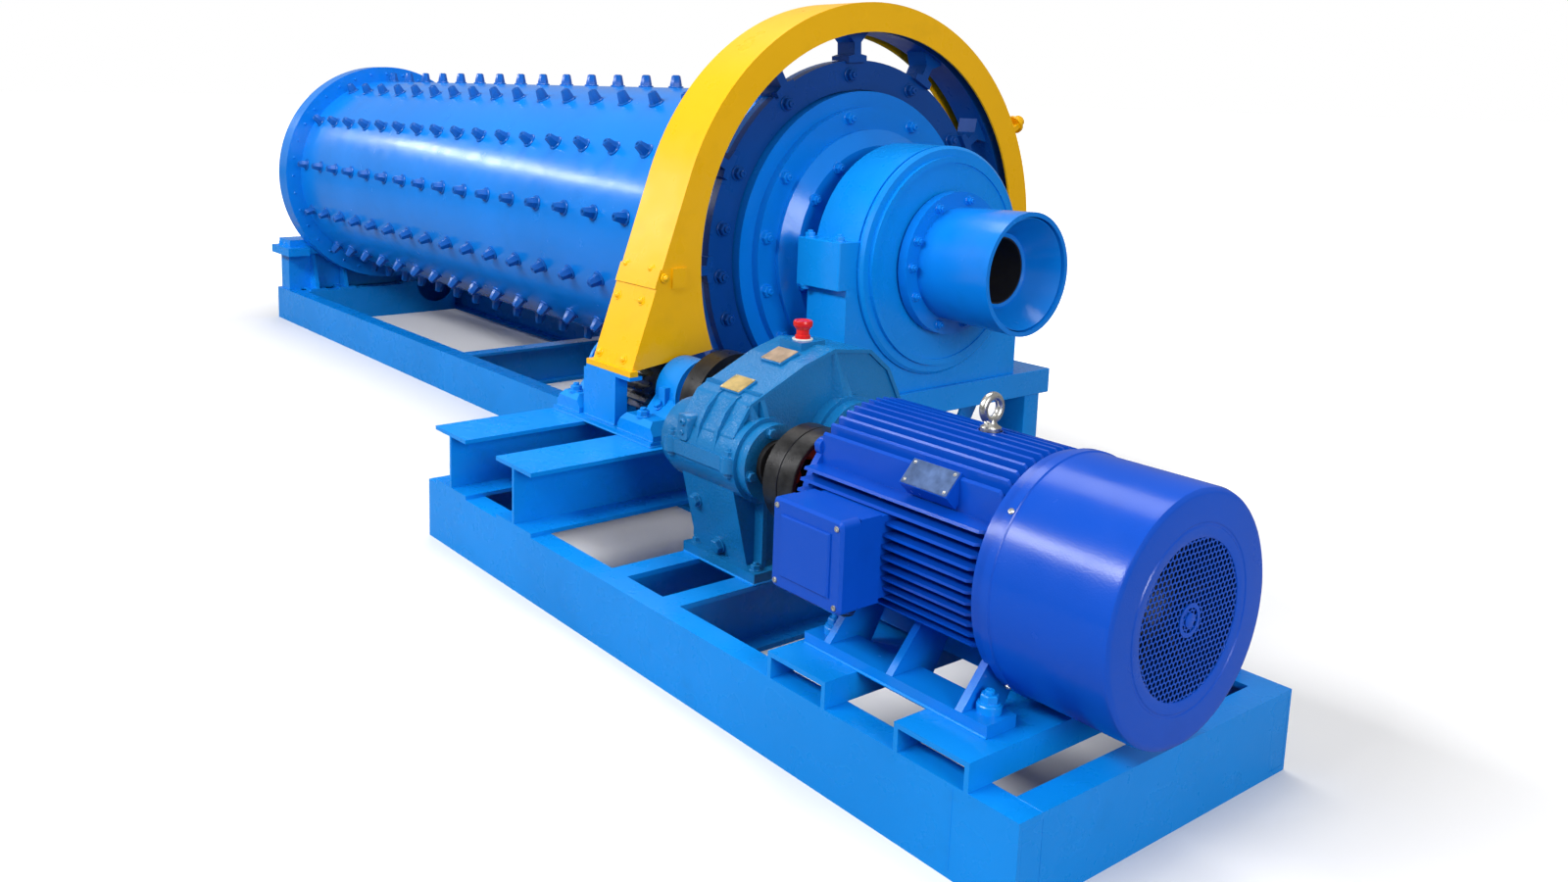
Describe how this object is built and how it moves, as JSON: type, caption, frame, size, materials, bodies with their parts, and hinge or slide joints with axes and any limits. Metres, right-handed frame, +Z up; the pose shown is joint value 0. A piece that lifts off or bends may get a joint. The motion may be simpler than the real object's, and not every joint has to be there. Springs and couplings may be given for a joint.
{
  "type": "ball mill",
  "caption": "Overflow ball mill: long blue drum on two bearing pedestals, turned by a guarded ring gear, pinion, reducer and finned motor on a steel skid.",
  "frame": {"origin": "on the floor under the mill axis, at the middle of the feed end cross beam", "axes": "+X along the mill axis to the discharge end, +Z up, -Y towards the drive side"},
  "size_m": [5.35, 1.9248, 1.434],
  "materials": {
    "blue_enamel": "gloss enamel with light orange peel",
    "navy_enamel": "gloss enamel, darker blue",
    "yellow_enamel": "gloss enamel",
    "hammered_blue": "hammered enamel",
    "motor_blue": "semi-gloss enamel",
    "red_plastic": "moulded red",
    "black_plastic": "moulded black",
    "zinc": "zinc plated",
    "machined_steel": "turned and oiled",
    "grey_iron": "dark grey, machined rims"
  },
  "bodies": {
    "frame": {"mill_frame_left_beam": "blue_enamel", "mill_frame_right_beam": "blue_enamel", "mill_frame_feed_beam": "blue_enamel", "mill_frame_notched_beam": "blue_enamel", "mill_frame_middle_beam": "blue_enamel", "mill_frame_discharge_beam": "blue_enamel", "drive_skid_left_beam": "blue_enamel", "drive_skid_right_beam": "blue_enamel", "drive_skid_near_beam": "blue_enamel", "drive_skid_far_beam": "blue_enamel", "drive_skid_cross_members": "blue_enamel", "pinion_cross_beams": "blue_enamel", "pinion_base_plate": "blue_enamel", "pinion_rear_bearing": "blue_enamel", "pinion_front_bearing": "blue_enamel", "guard_post": "blue_enamel", "gear_guard_upper": "yellow_enamel", "gear_guard_left_leg": "yellow_enamel", "gear_guard_right_leg": "yellow_enamel", "guard_right_stand": "blue_enamel", "feed_pedestal": "blue_enamel", "feed_bearing_housing": "blue_enamel", "discharge_pedestal": "blue_enamel", "discharge_bearing_housing": "blue_enamel", "discharge_bearing_cover": "blue_enamel", "gearbox_lower_case": "hammered_blue", "gearbox_upper_case": "hammered_blue", "gearbox_bearing_caps": "hammered_blue", "gearbox_breather": "red_plastic", "motor_frame": "motor_blue", "motor_end_shield": "motor_blue", "motor_fan_cowl": "motor_blue", "motor_terminal_box": "motor_blue", "motor_eye_bolt": "zinc", "motor_support_channels": "blue_enamel"},
    "drum": {"drum_shell": "blue_enamel", "feed_head": "blue_enamel", "discharge_head": "blue_enamel", "ring_gear": "navy_enamel", "discharge_trumpet": "blue_enamel"},
    "pinion_shaft": {"pinion": "machined_steel", "output_coupling": "grey_iron"},
    "motor_rotor": {"motor_coupling": "grey_iron", "motor_shaft": "machined_steel", "cooling_fan": "black_plastic"}
  },
  "joints": [
    {"name": "drum_spin", "type": "hinge", "parent": "frame", "child": "drum", "pos_m": [1.9, 0, 0.736], "axis": [1, 0, 0], "continuous": true},
    {"name": "pinion_spin", "type": "hinge", "parent": "frame", "child": "pinion_shaft", "pos_m": [3.54, -0.67783, 0.415], "axis": [1, 0, 0], "continuous": true},
    {"name": "motor_spin", "type": "hinge", "parent": "frame", "child": "motor_rotor", "pos_m": [4.8, -0.91983, 0.415], "axis": [1, 0, 0], "continuous": true}
  ],
  "couplings": [
    {"joint": "pinion_spin", "follows": "drum_spin", "ratio": -7.8235},
    {"joint": "motor_spin", "follows": "drum_spin", "ratio": -64.388}
  ]
}
